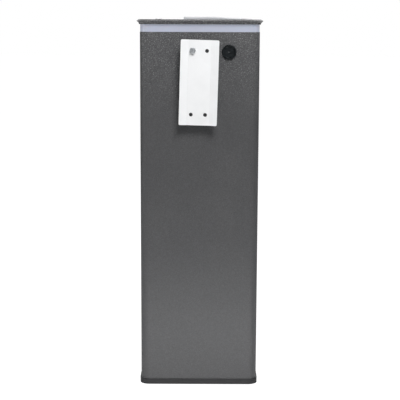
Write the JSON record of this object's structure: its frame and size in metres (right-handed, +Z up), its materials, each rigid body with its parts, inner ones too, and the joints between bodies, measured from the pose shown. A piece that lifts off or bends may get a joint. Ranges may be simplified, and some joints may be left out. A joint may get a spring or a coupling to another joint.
{
  "type": "parking pay station",
  "caption": "Free-standing parking pay station: a rounded steel column with a light band under a flared cap, a hinged service door and a rear accessory bracket.",
  "frame": {"origin": "centre of the base's underside, on the floor", "axes": "+Z up, -Y towards the user in front of the door, +Y the rear face that carries the bracket, +X the hinge side"},
  "size_m": [0.373, 0.3387, 1.113],
  "materials": {
    "grey_powder_coat": "fine-textured dark grey powder coat",
    "plinth_black": "matt black powder coat",
    "cap_coat": "fine-textured dark grey powder coat",
    "opal_diffuser": "satin opal acrylic",
    "zinc_steel": "zinc-plated",
    "stainless": "brushed stainless",
    "aluminium": "satin extruded",
    "white_coat": "satin white powder coat",
    "radome_plastic": "light grey, satin",
    "black_rubber": "matt",
    "black_plastic": "fine spark texture",
    "clear_glass": "toughened, polished",
    "clear_plastic": "clear polycarbonate",
    "dark_glass": "gloss black",
    "paper": "uncoated thermal paper",
    "card_core": "grey board",
    "grey_plastic": "moulded grey",
    "light_plastic": "moulded light grey",
    "brass": "nickel-plated brass",
    "acetal": "natural acetal",
    "button_blue": "gloss blue"
  },
  "bodies": {
    "column": {"base_plinth": "plinth_black", "base_plate": "zinc_steel", "cable_glands": "black_plastic", "rear_shell": "grey_powder_coat", "top_frame": "grey_powder_coat", "light_ring": "opal_diffuser", "led_carrier": "aluminium", "top_cap": "cap_coat", "cap_screws": "stainless", "antenna_cover": "radome_plastic", "hinge_frame_leaves": "stainless", "rod_keepers": "zinc_steel", "bracket_stud": "zinc_steel", "bracket_nut": "zinc_steel", "cable_plug": "black_rubber", "chassis_plate": "zinc_steel", "power_supply": "aluminium", "controller": "aluminium", "heater": "aluminium", "mounting_rail": "zinc_steel", "circuit_breaker": "light_plastic", "terminal_blocks": "grey_plastic", "fan_frame": "black_plastic"},
    "door": {"front_door": "grey_powder_coat", "hinge_door_leaves": "stainless", "door_seals": "black_rubber", "display_gasket": "black_rubber", "display_glass": "clear_glass", "display_module": "black_plastic", "display_clamp": "zinc_steel", "card_reader": "black_plastic", "reader_window": "dark_glass", "scanner_window": "dark_glass", "scanner_module": "black_plastic", "speaker": "black_plastic", "button_ring": "stainless", "camera_module": "black_plastic", "camera_lens": "dark_glass", "ticket_tray": "stainless", "printer_frame": "zinc_steel", "roll_spindle": "acetal", "printer_motor": "zinc_steel", "print_head": "aluminium", "lock_housing": "stainless", "rod_guides": "acetal"},
    "lock_cylinder": {"lock_barrel": "brass", "lock_crank": "zinc_steel"},
    "upper_rod": {"lock_rod_upper": "zinc_steel"},
    "lower_rod": {"lock_rod_lower": "zinc_steel"},
    "button": {"help_button": "button_blue"},
    "flap": {"ticket_flap": "clear_plastic"},
    "roll": {"paper_roll": "paper", "roll_core": "card_core"},
    "platen": {"platen_roller": "black_rubber", "platen_gear": "acetal"},
    "pinion": {"motor_pinion": "brass"},
    "printer_lid": {"printer_cover": "grey_plastic"},
    "fan": {"fan_rotor": "black_plastic"},
    "toggle": {"breaker_lever": "black_plastic"},
    "bracket": {"accessory_bracket": "white_coat"}
  },
  "joints": [
    {"name": "door_swing", "type": "hinge", "parent": "column", "child": "door", "pos_m": [0.1815, -0.09, 0.18], "axis": [0, 0, 1], "range_deg": [0, 110]},
    {"name": "lock_turn", "type": "hinge", "parent": "door", "child": "lock_cylinder", "pos_m": [-0.1365, -0.1, 0.54], "axis": [0, -1, 0], "range_deg": [0, 90]},
    {"name": "upper_rod_slide", "type": "slide", "parent": "door", "child": "upper_rod", "axis": [0, 0, 1], "range_m": [0, 0.0198]},
    {"name": "lower_rod_slide", "type": "slide", "parent": "door", "child": "lower_rod", "axis": [0, 0, -1], "range_m": [0, 0.0199]},
    {"name": "help_button_press", "type": "slide", "parent": "door", "child": "button", "axis": [0, 1, 0], "range_m": [0, 0.003], "stiffness_N_per_m": 800},
    {"name": "ticket_flap_swing", "type": "hinge", "parent": "door", "child": "flap", "pos_m": [0.04, -0.153, 0.664], "axis": [1, 0, 0], "range_deg": [0, 60]},
    {"name": "paper_roll_spin", "type": "hinge", "parent": "door", "child": "roll", "pos_m": [0.04, -0.055, 0.72], "axis": [1, 0, 0], "continuous": true},
    {"name": "platen_spin", "type": "hinge", "parent": "door", "child": "platen", "pos_m": [0.04, -0.088, 0.632], "axis": [1, 0, 0], "continuous": true},
    {"name": "motor_spin", "type": "hinge", "parent": "door", "child": "pinion", "pos_m": [0.095, -0.067, 0.632], "axis": [1, 0, 0], "continuous": true},
    {"name": "printer_cover_lift", "type": "hinge", "parent": "door", "child": "printer_lid", "pos_m": [0.04, -0.014, 0.767], "axis": [-1, 0, 0], "range_deg": [0, 95]},
    {"name": "fan_spin", "type": "hinge", "parent": "column", "child": "fan", "pos_m": [0.0765, 0.05, 0.174], "axis": [0, 0, 1], "continuous": true},
    {"name": "breaker_toggle", "type": "hinge", "parent": "column", "child": "toggle", "pos_m": [-0.0835, 0.0445, 0.42], "axis": [1, 0, 0], "range_deg": [0, 60]},
    {"name": "bracket_swing", "type": "hinge", "parent": "column", "child": "bracket", "pos_m": [0.021, 0.168, 1.016], "axis": [0, 1, 0], "continuous": true}
  ],
  "couplings": [
    {"joint": "lock_turn", "follows": "upper_rod_slide", "rad_per_m": 79.3},
    {"joint": "lower_rod_slide", "follows": "upper_rod_slide", "ratio": 1},
    {"joint": "platen_spin", "follows": "paper_roll_spin", "ratio": 5.625},
    {"joint": "motor_spin", "follows": "paper_roll_spin", "ratio": -14.062}
  ]
}
